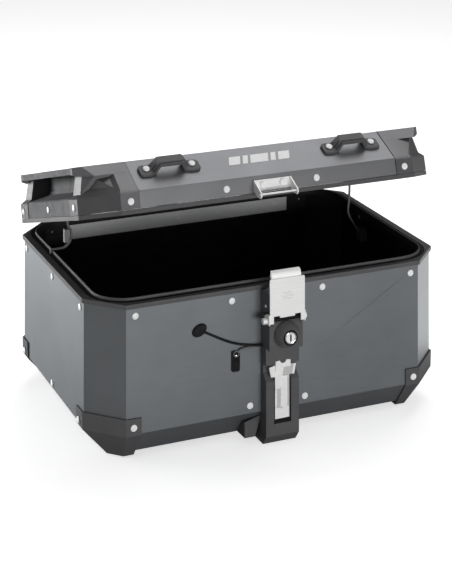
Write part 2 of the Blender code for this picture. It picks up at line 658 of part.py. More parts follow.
def on_slope(x, up, proud=0.0, inset=LID_INSET):
    """Point on the front slope of the lid."""
    return Vector((x, -DEPTH / 2 + inset, LID_FOLD)) + SLOPE_DIR * up + SLOPE_OUT * proud


def lid_frame(finish, pivot):
    frame = loft([octagon(0, LID_BOTTOM), octagon(0, LID_RIM_TOP)])
    cut(frame, loft([mouth(LIP + 0.0020, LID_BOTTOM - 0.01), mouth(LIP + 0.0020, LID_RIM_TOP + 0.01)]))
    cut(frame, hoop([mouth(LIP + 0.0040, LID_BOTTOM - 0.01), mouth(LIP + 0.0070, LID_BOTTOM - 0.01),
                     mouth(LIP + 0.0070, LID_BOTTOM + 0.003), mouth(LIP + 0.0040, LID_BOTTOM + 0.003)]))
    return piece("lid_frame", frame, finish, pivot=pivot)


def lid_seal(finish, pivot):
    a, b = LIP + 0.0040 + GAP, LIP + 0.0070 - GAP
    low, high = LID_BOTTOM, LID_BOTTOM + 0.003 - GAP
    seal = hoop([mouth(a, low), mouth(b, low), mouth(b, high), mouth(a, high)])
    return piece("lid_seal", seal, finish, pivot=pivot)


def lid_profile(inset):
    """Half of the sheet's section as (y, z), from the frame up to the middle of the top."""
    y = -DEPTH / 2 + LID_INSET
    return [(y + inset, LID_RIM_TOP + GAP), (y + inset, LID_FOLD - 0.35 * inset),
            (y + LID_SLOPE + 0.35 * inset, LID_TOP - inset)]


def lid_panel(finish, pivot):
    """Folded sheet: front and back bands, slopes and the top plate with its turned-down ends."""
    outer = lid_profile(0)
    inner = lid_profile(SHEET)
    section = outer + [(-y, z) for y, z in outer[::-1]] + [(-y, z) for y, z in inner] + inner[::-1]
    sheet = slab(section, "X", -CAP_X, CAP_X)
    y = NOSE_Y - GAP
    join(sheet, box((-WIDTH / 2, -y, LID_TOP - SHEET), (WIDTH / 2, y, LID_TOP)))
    for sign in (-1, 1):
        a, b = sorted((sign * WIDTH / 2, sign * (WIDTH / 2 - SHEET)))
        join(sheet, box((a, -y, LID_TOP - HEM), (b, y, LID_TOP)))
    for side in ("front", "rear"):
        cut(sheet, *rivet_holes(lid_row(side), WALLS[side]))
    cut(sheet, *rivet_holes(striker_row(), WALLS["front"]))
    cut(sheet, *rivet_holes(handle_row("front"), SLOPE_OUT))
    cut(sheet, *rivet_holes(handle_row("rear"), SLOPE_OUT * Vector((1, -1, 1))))
    return piece("lid_panel", sheet, finish, pivot=pivot)


def lid_end(finish, pivot):
    """End panel: upright band, rounded shelf and the recessed wall that fingers reach behind."""
    x = WIDTH / 2 - LID_INSET
    top = LID_TOP - SHEET - GAP
    outer = [(x, LID_RIM_TOP + GAP), (x, LID_FOLD - 0.0020), (x - 0.0020, LID_FOLD),
             (x - 0.0240, LID_FOLD + 0.0050), (0.2620, LID_FOLD + 0.0080),
             (0.2580, LID_FOLD + 0.0150), (0.2550, top)]
    inner = [(outer[0][0] - SHEET, outer[0][1]), (x - SHEET, LID_FOLD - 0.0030),
             (x - 0.0240, LID_FOLD + 0.0034), (0.2610, LID_FOLD + 0.0068),
             (0.2565, LID_FOLD + 0.0145), (0.2535, top)]
    end = slab(outer + inner[::-1], "Y", -CAP_SIDE + GAP, CAP_SIDE - GAP)
    cut(end, *rivet_holes(lid_row("right"), WALLS["right"]))
    return piece("lid_end_right", end, finish, pivot=pivot)


def lid_row(side):
    if side in ("front", "rear"):
        y = (-1 if side == "front" else 1) * (DEPTH / 2 - LID_INSET)
        return [Vector((x, y, LID_RIVET_Z)) for x in RIVET_X]
    x = (-1 if side == "left" else 1) * (WIDTH / 2 - LID_INSET)
    return [Vector((x, y, LID_RIVET_Z)) for y in SIDE_RIVET_Y]


def striker_row():
    return [Vector((x, -DEPTH / 2 + LID_INSET, LID_RIVET_Z)) for x in (-0.0165, 0.0165)]


def handle_row(side):
    sign = 1 if side == "front" else -1
    points = [on_slope(s * HANDLE_X + t * HANDLE_RIVET, HANDLE_UP) for s in (-1, 1) for t in (-1, 1)]
    return [Vector((p.x, sign * p.y, p.z)) for p in points]


def cap_ring(z, side_in, corner_in, wall=0, past_x=0, past_y=0):
    """Outline of the front right cap at one height; the side and its corner stand in from the rim."""
    y = DEPTH / 2 - wall - LID_SLOPE * max(0, z - LID_FOLD) / (LID_TOP - LID_FOLD)
    corner_x, corner_y = WIDTH / 2 - CHAMFER_X, DEPTH / 2 - CHAMFER_Y
    side = WIDTH / 2 - side_in - wall
    near_x, near_y = CAP_X + GAP - past_x, -CAP_SIDE - GAP + past_y
    return [(near_x, -y, z), (corner_x - 0.3 * side_in - 0.6 * wall, -y, z),
            (side, -corner_y + corner_in + 0.6 * wall, z), (side, near_y, z), (near_x, near_y, z)]


def lid_cap(finish, pivot):
    """Moulded corner of the lid: band, shoulder, slope and the overhanging nose."""
    low = LID_RIM_TOP + GAP
    top = LID_TOP - 0.004
    shoulder, crown = (0.0075, 0.004), (0.0150, 0.009)
    levels = [(low, 0, 0), (LID_FOLD - 0.002, 0, 0), (LID_FOLD + 0.004, *shoulder), (top, *crown)]
    cap = loft([cap_ring(*level) for level in levels])
    lift = 0.0002
    nose_low = LID_TOP - 0.0155
    nose_y = -(DEPTH / 2 + lift - LID_SLOPE * (nose_low - LID_FOLD) / (LID_TOP - LID_FOLD))
    nose = slab([(nose_y, nose_low), (-DEPTH / 2 + LID_SLOPE, LID_TOP + lift), (-NOSE_Y, LID_TOP + lift),
                 (-NOSE_Y, LID_TOP - HEM), (nose_y + 0.012, nose_low)],
                "X", CAP_X + GAP + lift, WIDTH / 2 - lift)
    corner = [(WIDTH / 2, -NOSE_Y - 0.008), (WIDTH / 2 + 0.02, -NOSE_Y - 0.008), (WIDTH / 2 + 0.02, -0.25),
              (WIDTH / 2 - 0.0817, -0.25)]
    cut(nose, slab(corner, "Z", LID_TOP - 0.03, LID_TOP + 0.01))
    join(cap, nose)
    band = [(low - 0.01, 0, 0), (LID_FOLD - 0.004, 0, 0)]
    cut(cap, loft([cap_ring(*level, CAP_WALL, 0.01, 0.01) for level in band]))
    above = [(LID_FOLD - 0.005, 0, 0), (LID_FOLD - 0.003, 0, 0), (LID_FOLD + 0.002, *shoulder),
             (LID_TOP - 0.009, *crown)]
    cut(cap, loft([cap_ring(*level, CAP_WALL, 0.01, -CAP_WALL) for level in above]))
    for side in ("front", "right"):
        cut(cap, *rivet_holes(lid_row(side), WALLS[side]))
    return piece("lid_cap_front_right", cap, finish, pivot=pivot)


def lid_rivets(side, finish, pivot):
    """Rivets of one band of the lid on their backing bar."""
    normal = WALLS[side]
    row = lid_row(side)
    inside = 0.0034
    ends = [p.x if normal.y else p.y for p in row]
    a = row[0] - normal * inside
    b = row[-1] - normal * (inside + 0.0022)
    low = Vector(min(p, q) for p, q in zip(a, b))
    high = Vector(max(p, q) for p, q in zip(a, b))
    spread = Vector((0.006 if normal.y else 0, 0 if normal.y else 0.006, 0.005))
    bar = box(low - spread, high + spread)
    at_cap = LID_INSET + GAP
    for p, along in zip(row, ends):
        stand = at_cap if abs(along) > 0.12 else GAP
        if side == "rear":
            stand = max(stand, LID_INSET + 0.0020 + 2 * GAP) if -0.166 < along < 0.206 else stand
        join(bar, rivet(p + normal * stand, normal, inside + stand + 0.001))
    if side == "front":
        for p in striker_row():
            stand = LID_INSET + 0.0020 + 2 * GAP
            join(bar, rivet(p + normal * stand, normal, inside + stand + 0.001))
    return piece(f"lid_rivets_{side}", bar, finish, pivot=pivot, round_edges=35)


def handle_rivets(side, finish, pivot):
    """Rivets of the two handles on one slope, on a bar under the sheet."""
    under = SHEET + GAP
    ends = [on_slope(x, HANDLE_UP + v, -w) for x in (-0.198, 0.198) for v in (-0.005, 0.005)
            for w in (under, under + 0.0022)]
    bar = hull(ends)
    for p in handle_row("front"):
        stand = 0.003 + 2 * GAP
        join(bar, rivet(p + SLOPE_OUT * stand, SLOPE_OUT, under + stand + 0.001))
    if side == "rear":
        bar.data.transform(Matrix.Diagonal((1, -1, 1, 1)))
        bar.data.flip_normals()
    return piece(f"handle_rivets_{side}", bar, finish, pivot=pivot, round_edges=35)


def tie_down_handle(finish, pivot):
    """Moulded bridge with two flat feet; straps pass under it."""
    grip = [(-0.0255, 0), (-0.0195, 0.0150), (0.0195, 0.0150), (0.0255, 0), (0.0310, 0), (0.0290, 0.0080),
            (0.0225, 0.0195), (-0.0225, 0.0195), (-0.0290, 0.0080), (-0.0310, 0)]
    rings = [[on_slope(HANDLE_X + u, HANDLE_UP + v, w + GAP) for u, w in grip] for v in (-0.0075, 0.0075)]
    handle = loft(rings)
    for sign in (-1, 1):
        foot = [(sign * 0.0262, -0.0100), (sign * 0.0440, -0.0135), (sign * 0.0500, -0.0090),
                (sign * 0.0500, 0.0060), (sign * 0.0440, 0.0105), (sign * 0.0262, 0.0090)]
        join(handle, loft([[on_slope(HANDLE_X + u, HANDLE_UP + v, w + GAP) for u, v in foot]
                           for w in (0, 0.0030)]))
    holes = [p for p in handle_row("front") if p.x > 0]
    cut(handle, *rivet_holes(holes, SLOPE_OUT))
    return piece("handle_front_right", handle, finish, pivot=pivot)


def striker(steel, pivot):
    """Folded plate with two ears on the lid's front band and the rod the hook pulls on."""
    y = -DEPTH / 2 + LID_INSET - GAP
    plate = box((-0.0315, y - 0.0020, 0.2510), (0.0315, y, 0.2670))
    ear = [(y, 0.2510), (y, 0.2670), (y - 0.0040, 0.2670), (y - 0.0260, 0.2480), (y - 0.0260, 0.2420),
           (y - 0.0220, 0.2395), (y - 0.0120, 0.2420)]
    for low, high in ((-0.0315, -0.0295), (0.0295, 0.0315)):
        join(plate, slab(ear, "X", low, high))
    centre = (0, -0.2313, 0.2455)
    cut(plate, rod(0.0019, -0.05, 0.05, 10, "X", centre), *rivet_holes(striker_row(), WALLS["front"]))
    piece("striker_plate", plate, steel, pivot=pivot)
    piece("striker_rod", rod(0.0015, -0.0328, 0.0328, 10, "X", centre), steel, pivot=pivot, round_edges=50)


def lid_stay(side, finish, pivot):
    """Cord that holds the lid from opening too far, hanging from the lid at rest."""
    x = 0.2520 if side == "right" else -0.2520
    swing = Matrix.Rotation(LID_OPEN, 3, "X")
    hinge = Vector((0, HINGE_Y, HINGE_Z))
    points = [hinge + swing @ (Vector(p) - hinge) for p in ((x, 0.0500, 0.3040), (x, 0.0560, 0.2180))]
    return piece(f"lid_stay_{side}", tube_along(points, STAY_R, 8), finish, pivot=pivot, round_edges=50)


# ---- the whole case -----------------------------------------------------------------------
def build():
    for obj in list(bpy.data.objects):
        bpy.data.objects.remove(obj)

    panel = material("panel_paint", (0.105, 0.112, 0.118), 0.42, 0.75)
    plastic = material("moulded_plastic", (0.060, 0.060, 0.064), 0.55, 0.0)
    rubber = material("rubber", (0.018, 0.018, 0.018), 0.80, 0.0)
    bright = material("rivet_steel", (0.80, 0.80, 0.80), 0.25, 1.0)
    steel = material("stainless_steel", (0.78, 0.78, 0.77), 0.28, 1.0)
    chrome = material("chrome", (0.85, 0.85, 0.86), 0.12, 1.0)
    cord = material("cord", (0.10, 0.10, 0.10), 0.70, 0.0)
    mat = material("felt", (0.03, 0.03, 0.03), 0.95, 0.0)

    lid = pivot_point("lid_pivot", (0, HINGE_Y, HINGE_Z))
    lever = pivot_point("lever_pivot", LEVER_PIVOT)
    hook = pivot_point("hook_pivot", HOOK_PIVOT, lever)
    lock = pivot_point("lock_pivot", LOCK_CENTRE)
    release = pivot_point("release_pivot", RELEASE_PIVOT)
    bolt = pivot_point("release_bolt_slide", (0, PANEL_Y, 0.005))

    body_shell(panel)
    rim_frame(plastic)
    rim_gasket(rubber)
    floor_mat(mat)
    mounting_plate(plastic)
    guard = corner_guard(plastic)
    copy_mirrored("corner_guard_front_left", guard, "X")
    copy_mirrored("corner_guard_rear_right", guard, "Y")
    copy_mirrored("corner_guard_rear_left", guard, "XY")
    for side in WALLS:
        body_rivets(side, bright)
    hinge_parts(steel, lid)
    for side in ("left", "right"):
        stay_anchor(side, plastic)
        lid_stay(side, cord, lid)
    tether(rubber, cord)

    latch_bracket(plastic)
    lock_block(plastic)
    lock_parts(plastic, chrome, lock)
    pivot_bolt(steel)
    latch_lever(steel, lever)
    latch_hook(steel, hook)
    lower_block(plastic)
    release_lever(chrome, release)
    release_bolt(steel, bolt)

    lid_frame(plastic, lid)
    lid_seal(rubber, lid)
    lid_panel(panel, lid)
    end = lid_end(panel, lid)
    copy_mirrored("lid_end_left", end, "X")
    cap = lid_cap(plastic, lid)
    copy_mirrored("lid_cap_front_left", cap, "X")
    copy_mirrored("lid_cap_rear_right", cap, "Y")
    copy_mirrored("lid_cap_rear_left", cap, "XY")
    for side in WALLS:
        lid_rivets(side, bright, lid)
    for side in ("front", "rear"):
        handle_rivets(side, bright, lid)
    handle = tie_down_handle(plastic, lid)
    copy_mirrored("handle_front_left", handle, "X")
    copy_mirrored("handle_rear_right", handle, "Y")
    copy_mirrored("handle_rear_left", handle, "XY")
    striker(steel, lid)

    lid.rotation_euler.x = -LID_OPEN


build()
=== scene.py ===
"""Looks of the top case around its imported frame: materials, fine pieces, light and camera."""
import json
from math import cos, pi, radians, sin

import bmesh
import bpy
from mathutils import Matrix, Vector


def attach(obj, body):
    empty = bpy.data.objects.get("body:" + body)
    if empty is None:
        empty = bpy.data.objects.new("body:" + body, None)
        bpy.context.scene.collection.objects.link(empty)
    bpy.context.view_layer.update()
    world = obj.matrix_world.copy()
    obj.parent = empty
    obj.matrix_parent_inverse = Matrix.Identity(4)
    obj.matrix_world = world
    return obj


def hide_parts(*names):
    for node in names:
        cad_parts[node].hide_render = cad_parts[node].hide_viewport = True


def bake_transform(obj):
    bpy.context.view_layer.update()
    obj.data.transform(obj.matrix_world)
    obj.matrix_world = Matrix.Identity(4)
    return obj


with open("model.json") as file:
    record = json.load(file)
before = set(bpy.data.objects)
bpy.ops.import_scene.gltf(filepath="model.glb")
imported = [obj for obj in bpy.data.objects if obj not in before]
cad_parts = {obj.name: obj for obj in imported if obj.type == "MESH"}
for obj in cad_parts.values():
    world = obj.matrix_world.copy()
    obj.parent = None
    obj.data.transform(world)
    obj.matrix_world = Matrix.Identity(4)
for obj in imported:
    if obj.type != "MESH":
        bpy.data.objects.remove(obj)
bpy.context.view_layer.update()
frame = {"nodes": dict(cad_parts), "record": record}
nodes = frame["nodes"]
slot_of = {part["node"]: part["material_slot"] for part in frame["record"]["subparts"]}


# ---- node helpers -------------------------------------------------------------------------
class Shade:
    """A Principled material under construction, with short calls for its texture nodes."""

    def __init__(self, name):
        self.material = bpy.data.materials.new(name)
        self.material.use_nodes = True
        self.tree = self.material.node_tree
        self.out = self.tree.nodes["Principled BSDF"]
        self.place = self.node("ShaderNodeTexCoord").outputs["Object"]

    def node(self, kind, **settings):
        made = self.tree.nodes.new(kind)
        for key, value in settings.items():
            setattr(made, key, value)
        return made

    def wire(self, source, target):
        self.tree.links.new(source, target)

    def stretched(self, scale):
        mapping = self.node("ShaderNodeMapping")
        mapping.inputs["Scale"].default_value = scale
        self.wire(self.place, mapping.inputs["Vector"])
        return mapping.outputs["Vector"]

    def noise(self, size, detail=3.0, stretch=(1, 1, 1), roughness=0.5):
        made = self.node("ShaderNodeTexNoise")
        made.inputs["Scale"].default_value = 1 / size
        made.inputs["Detail"].default_value = detail
        made.inputs["Roughness"].default_value = roughness
        self.wire(self.stretched(stretch), made.inputs["Vector"])
        return made.outputs["Fac"]

    def ramp(self, source, low, high, start=0.3, end=0.7):
        """Spread a 0-1 value between two numbers."""
        made = self.node("ShaderNodeMapRange")
        made.inputs["From Min"].default_value = start
        made.inputs["From Max"].default_value = end
        made.inputs["To Min"].default_value = low
        made.inputs["To Max"].default_value = high
        self.wire(source, made.inputs["Value"])
        return made.outputs["Result"]

    def mix(self, factor, colour_a, colour_b):
        made = self.node("ShaderNodeMix", data_type="RGBA")
        self.wire(factor, made.inputs["Factor"])
        for socket, colour in ((made.inputs[6], colour_a), (made.inputs[7], colour_b)):
            if isinstance(colour, tuple):
                socket.default_value = (*colour, 1)
            else:
                self.wire(colour, socket)
        return made.outputs[2]

    def set(self, name, value):
        socket = self.out.inputs[name]
        if isinstance(value, bpy.types.NodeSocket):
            self.wire(value, socket)
        elif isinstance(value, tuple):
            socket.default_value = (*value, 1)
        else:
            socket.default_value = value

    def bump(self, height, strength, distance):
        made = self.node("ShaderNodeBump")
        made.inputs["Strength"].default_value = strength
        made.inputs["Distance"].default_value = distance
        self.wire(height, made.inputs["Height"])
        self.wire(made.outputs["Normal"], self.out.inputs["Normal"])


# ---- materials ----------------------------------------------------------------------------
def satin_sheet(name, dark, light):
    """Satin anodised sheet: fine brushed lines along X over soft clouding."""
    shade = Shade(name)
    lines = shade.noise(0.0008, 2.0, (0.02, 1, 1))
    clouds = shade.noise(0.09, 3.0)
    body = shade.mix(shade.ramp(clouds, 0, 1, 0.35, 0.65), dark, light)
    shade.set("Base Color", shade.mix(shade.ramp(lines, 0, 0.10), body, (0.34, 0.35, 0.36)))
    shade.set("Metallic", 0.6)
    shade.set("Roughness", shade.ramp(lines, 0.38, 0.48))
    shade.bump(lines, 0.06, 0.0001)
    return shade.material


def moulded(name, dark, light, roughness, specular=0.22, metallic=0.0):
    """Moulded plastic: spark-eroded grain over slight clouding."""
    shade = Shade(name)
    grain = shade.noise(0.00055, 4.0, roughness=0.65)
    clouds = shade.noise(0.035, 3.0)
    shade.set("Base Color", shade.mix(shade.ramp(clouds, 0, 1), dark, light))
    shade.set("Roughness", shade.ramp(grain, roughness - 0.06, roughness + 0.10))
    shade.set("Specular IOR Level", specular)
    shade.set("Metallic", metallic)
    shade.bump(grain, 0.15, 0.00012)
    return shade.material


def rubber(name, colour, roughness=0.75):
    """Matt rubber, or a dull coating: fine grain over slight clouding."""
    shade = Shade(name)
    grain = shade.noise(0.0008, 4.0)
    clouds = shade.noise(0.03, 2.0)
    worn = tuple(1.7 * c + 0.004 for c in colour)
    shade.set("Base Color", shade.mix(shade.ramp(clouds, 0, 1), colour, worn))
    shade.set("Roughness", shade.ramp(grain, roughness - 0.08, roughness + 0.08))
    shade.set("Specular IOR Level", 0.15)
    shade.bump(grain, 0.15, 0.0001)
    return shade.material


def felt(name, colour):
    """Needle felt: short tangled fibres with a soft sheen."""
    shade = Shade(name)
    fibres = shade.noise(0.0011, 6.0, roughness=0.8)
    tips = tuple(2.4 * c for c in colour)
    shade.set("Base Color", shade.mix(shade.ramp(fibres, 0, 1), colour, tips))
    shade.set("Roughness", 0.95)
    shade.set("Sheen Weight", 0.3)
    shade.bump(fibres, 0.8, 0.0006)
    return shade.material


def braided(name, dark, light):
    """Braided cord: slanting bands of a lighter strand."""
    shade = Shade(name)
    wave = shade.node("ShaderNodeTexWave", bands_direction="DIAGONAL")
    wave.inputs["Scale"].default_value = 260
    shade.wire(shade.place, wave.inputs["Vector"])
    shade.set("Base Color", shade.mix(wave.outputs["Fac"], dark, light))
    shade.set("Roughness", 0.7)
    shade.bump(wave.outputs["Fac"], 0.5, 0.0004)
    return shade.material


def brushed_steel(name, colour, roughness, metallic=1.0, contrast=0.12):
    """Sheet metal brushed along X, with faint handling marks."""
    shade = Shade(name)
    lines = shade.noise(0.0007, 3.0, (0.015, 1, 1))
    marks = shade.noise(0.02, 4.0)
    dull = tuple(c * (1 - contrast) for c in colour)
    shade.set("Base Color", shade.mix(shade.ramp(lines, 0, 1), dull, colour))
    shade.set("Metallic", metallic)
    rough = shade.node("ShaderNodeMath", operation="ADD")
    shade.wire(shade.ramp(lines, roughness - 0.05, roughness + 0.06), rough.inputs[0])
    shade.wire(shade.ramp(marks, -0.03, 0.05), rough.inputs[1])
    shade.set("Roughness", rough.outputs["Value"])
    shade.bump(lines, 0.05, 0.0001)
    return shade.material


def plated(name, colour, roughness, metallic=1.0, dull=0.93):
    """Bright plating with the slight ripple of a die-cast base."""
    shade = Shade(name)
    ripple = shade.noise(0.006, 3.0)
    dulled = tuple(dull * c for c in colour)
    shade.set("Base Color", shade.mix(shade.ramp(ripple, 0, 1), colour, dulled))
    shade.set("Metallic", metallic)
    shade.set("Roughness", shade.ramp(ripple, roughness, roughness + 0.06))
    shade.bump(ripple, 0.05, 0.0004)
    return shade.material


FINISHES = {
    "panel": satin_sheet("satin_panel", (0.172, 0.183, 0.193), (0.192, 0.204, 0.215)),
    "plastic": moulded("moulded_dark", (0.088, 0.088, 0.091), (0.101, 0.101, 0.105), 0.46),
    "rubber": rubber("black_rubber", (0.010, 0.010, 0.011)),
    "felt": felt("black_felt", (0.010, 0.010, 0.011)),
    "cord": braided("grey_cord", (0.10, 0.10, 0.10), (0.20, 0.20, 0.20)),
    "rivet": plated("rivet_head", (0.98, 0.98, 0.98), 0.36, 0.0),
    "steel": brushed_steel("stainless", (0.98, 0.98, 0.97), 0.36, 0.15, 0.08),
    "chrome": plated("bright_plate", (0.96, 0.96, 0.95), 0.22),
}
GLOSS_BLACK = moulded("gloss_black", (0.010, 0.010, 0.011), (0.014, 0.014, 0.015), 0.18)
# Near black for the faces of the sheets toward the inside of the case.
INSIDE_DARK = satin_sheet("inner_sheet", (0.016, 0.016, 0.017), (0.021, 0.021, 0.022))
LID_SHEET = satin_sheet("lid_sheet", (0.174, 0.176, 0.185), (0.194, 0.196, 0.206))
# Brighter, more reflective copy of the cap plastic for the caps' upper faces; with the plain plastic on
# their side faces it paints light and shade by face direction.
LIT_CAP_SATIN = moulded("lit_cap_satin", (0.104, 0.104, 0.108), (0.120, 0.120, 0.125), 0.36, 0.5, 0.45)
# Dull dark finish of the lid ends, darkened further as painted shade of their recesses; on the lid panel's
# end faces it is painted shade only.
END_DULL_AND_SHADE = rubber("end_dull_and_shade", (0.062, 0.063, 0.066), 0.70)
INNER_RIM = moulded("inner_rim", (0.016, 0.016, 0.017), (0.020, 0.020, 0.021), 0.5)
# Darker copy of the lever's plating: painted shade in the recesses of its core.
RECESS_SHADE_CAST = plated("cast_core_recess_shade", (0.60, 0.60, 0.59), 0.42, 0.3)
CAST_BRIGHT = plated("cast_bright", (0.97, 0.97, 0.96), 0.36, 0.1)
PRESSED = brushed_steel("pressed_relief", (0.80, 0.80, 0.79), 0.40, 0.35)
RAIL = brushed_steel("rail_aluminium", (0.95, 0.96, 0.97), 0.42, 0.25)
STRIKER = brushed_steel("striker_steel", (0.97, 0.97, 0.96), 0.36, 0.1, 0.08)
CLAMP = moulded("grey_clamp", (0.16, 0.16, 0.16), (0.20, 0.20, 0.20), 0.45)
HINGE_STEEL = brushed_steel("hinge_steel", (0.62, 0.62, 0.61), 0.38)
# Near-black painted shade: in the slot of the key cylinder and on the pivot bolt's shank in the gap under
# the latch cover.
SHADE_BLACK = rubber("painted_shade_black", (0.006, 0.006, 0.006), 0.6)
MARK = moulded("pale_print", (0.95, 0.95, 0.95), (0.98, 0.98, 0.98), 0.5)


def paint(obj, finish):
    obj.data.materials.clear()
    obj.data.materials.append(finish)
    obj.data.shade_smooth()
    for polygon in obj.data.polygons:
        polygon.material_index = 0


WELD_GAP = 0.00002
BEVEL_SEGMENTS = 2
BEVEL_ANGLE = 28


def soften(obj, width):
    """Weld the facets and round the edges, as modifiers, so that edges catch the light."""
    weld = obj.modifiers.new("weld", "WELD")
    weld.merge_threshold = WELD_GAP
    bevel = obj.modifiers.new("round", "BEVEL")
    bevel.width = width
    bevel.segments = BEVEL_SEGMENTS
    bevel.limit_method = "ANGLE"
    bevel.angle_limit = radians(BEVEL_ANGLE)
    bevel.use_clamp_overlap = True
    normals = obj.modifiers.new("flats", "WEIGHTED_NORMAL")
    normals.keep_sharp = True


# Widths of the rounded edges: by material slot, for every other slot, and for single nodes.
EDGE = {"plastic": 0.0007, "rubber": 0.0004, "panel": 0.0005, "steel": 0.00035}
FINE_EDGE = 0.0003
WIDE_EDGE = {"lower_block": 0.0010, "lock_block": 0.0009, "body_shell": 0.0016, "rim_frame": 0.0009,
             "lid_frame": 0.0007, "latch_lever": 0.0006}
for side in ("front_left", "front_right", "rear_left", "rear_right"):
    WIDE_EDGE[f"corner_guard_{side}"] = 0.0011
    WIDE_EDGE[f"lid_cap_{side}"] = 0.0012

SPECIAL = {"striker_plate": STRIKER, "lid_panel": LID_SHEET,
           "hinge_body_leaf": HINGE_STEEL, "hinge_lid_leaf": HINGE_STEEL,
           "lid_end_left": END_DULL_AND_SHADE, "lid_end_right": END_DULL_AND_SHADE}
SPECIAL.update({name: LIT_CAP_SATIN for name in nodes if name.startswith("lid_cap")})

for name, obj in nodes.items():
    paint(obj, SPECIAL.get(name, FINISHES[slot_of[name]]))
    soften(obj, WIDE_EDGE.get(name, EDGE.get(slot_of[name], FINE_EDGE)))


# ---- stage --------------------------------------------------------------------------------
def pale_floor():
    """Matt floor that reads as white to the camera and stays dimmer as a light source."""
    shade = Shade("pale_floor")
    cloud = shade.noise(0.8, 2.0)
    ray = shade.node("ShaderNodeLightPath").outputs["Is Camera Ray"]
    tone = shade.mix(shade.ramp(cloud, 0, 1), (0.90, 0.90, 0.90), (0.92, 0.92, 0.92))
    shade.set("Base Color", shade.mix(ray, (0.42, 0.42, 0.42), tone))
    shade.set("Roughness", 0.9)
    shade.set("Specular IOR Level", 0.1)
    shade.set("Emission Color", (1.0, 1.0, 1.0))
    shade.set("Emission Strength", shade.ramp(ray, 0, 0.62, 0, 1))
    return shade.material


def studio():
    """Floor that sweeps up into a backdrop."""
    bm = bmesh.new()
    half, back, height, bend, steps = 9.0, 6.0, 7.0, 2.0, 12
    ground = -0.0002
    outline = [(-8.0, ground)]
    for i in range(steps + 1):
        turn = i * pi / 2 / steps
        outline.append((back - bend + bend * sin(turn), ground + bend - bend * cos(turn)))
    outline += [(back, height)]
    rows = [[bm.verts.new((x, y, z)) for y, z in outline] for x in (-half, half)]
    for i in range(len(outline) - 1):
        bm.faces.new((rows[0][i], rows[1][i], rows[1][i + 1], rows[0][i + 1]))
    mesh = bpy.data.meshes.new("floor_sweep")
    bm.to_mesh(mesh)
    bm.free()
    mesh.shade_smooth()
    floor = bpy.data.objects.new("floor_sweep", mesh)
    bpy.context.scene.collection.objects.link(floor)
    floor.data.materials.append(pale_floor())


def lamp(name, place, aim, size, power):
    data = bpy.data.lights.new(name, "AREA")
    data.shape = "RECTANGLE"
    data.size, data.size_y = size
    data.energy = power
    obj = bpy.data.objects.new(name, data)
    obj.location = place
    obj.rotation_euler = (Vector(aim) - Vector(place)).to_track_quat("-Z", "Y").to_euler()
    obj.visible_camera = False
    bpy.context.scene.collection.objects.link(obj)


def lights():
    world = bpy.data.worlds.new("studio_world")
    world.use_nodes = True
    tree = world.node_tree
    background = tree.nodes["Background"]
    background.inputs["Color"].default_value = (1, 1, 1, 1)
    ray = tree.nodes.new("ShaderNodeLightPath")
    level = tree.nodes.new("ShaderNodeMapRange")
    level.inputs["To Min"].default_value = 0.22
    level.inputs["To Max"].default_value = 1.0
    tree.links.new(ray.outputs["Is Camera Ray"], level.inputs["Value"])
    tree.links.new(level.outputs["Result"], background.inputs["Strength"])
    scene = bpy.context.scene
    scene.world = world
    scene.view_settings.view_transform = "Standard"
    lamp("rear_left_bounce", (-1.5, 1.3, 0.02), (-1.2, 1.0, 1.0), (2.0, 2.4), 150)
    lamp("right_bounce", (0.86, 0.20, 0.02), (0.86, 0.20, 1.0), (0.9, 1.2), 5.5)
    lamp("rear_left_window", (-2.5, 2.0, 0.35), (-0.25, 0, 0.1), (2.0, 0.7), 75)
    lamp("right_strip", (2.5, -0.5, 0.6), (0.2, 0, 0.15), (0.9, 1.4), 4)
    lamp("front_fill", (0.1, -3.3, 0.30), (0, 0, 0.2), (1.6, 0.6), 50)
    lamp("overhead", (0.7, 0.9, 2.4), (0, 0, 0.3), (2.2, 1.8), 30)


def camera():
    """Level camera above the case, with a vertical lens shift that keeps upright edges parallel.

    The shift belongs to this one place: drivers drop it when the camera is moved elsewhere.
    """
    data = bpy.data.cameras.new("front_camera")
    data.lens = 105.7
    data.sensor_width = 36
    obj = bpy.data.objects.new("front_camera", data)
    obj.location = (-1.0954, -2.5902, 1.1783)
    obj.rotation_euler = (pi / 2, 0, radians(-23.11))
    bpy.context.scene.collection.objects.link(obj)
    bpy.context.scene.camera = obj
    home = bpy.data.objects.new("camera_home", None)
    home.location = obj.location
    bpy.context.scene.collection.objects.link(home)
    for path, amount in (("shift_x", -0.0074), ("shift_y", -1.0675)):
        driver = data.driver_add(path).driver
        driver.type = "SCRIPTED"
        gone = driver.variables.new()
        gone.name = "gone"
        gone.type = "LOC_DIFF"
        gone.targets[0].id = obj
        gone.targets[1].id = home
        driver.expression = f"{amount} * (gone < 0.001)"


# ---- shapes for the fine pieces -----------------------------------------------------------
PANEL_Y = -0.2066  # face of the front panel
HINGE = Vector((0, 0.2164, 0.2494))
LID_ANGLE = -17.3  # from the closed lid to the lid at rest
OPENING = (Matrix.Translation(HINGE) @ Matrix.Rotation(radians(LID_ANGLE), 4, "X")
           @ Matrix.Translation(-HINGE))
# The front slope of the closed lid: along it, away from it, and its lower edge.
UP_SLOPE = Vector((0, 0.761, 0.6487))
OFF_SLOPE = Vector((0, -0.6487, 0.761))
SLOPE_FOOT = Vector((0, -0.2088, 0.2735))
# The middle of a tie-down handle on that slope, from the centre line and from the lower edge.
HANDLE_X, HANDLE_UP = 0.1546, 0.0405


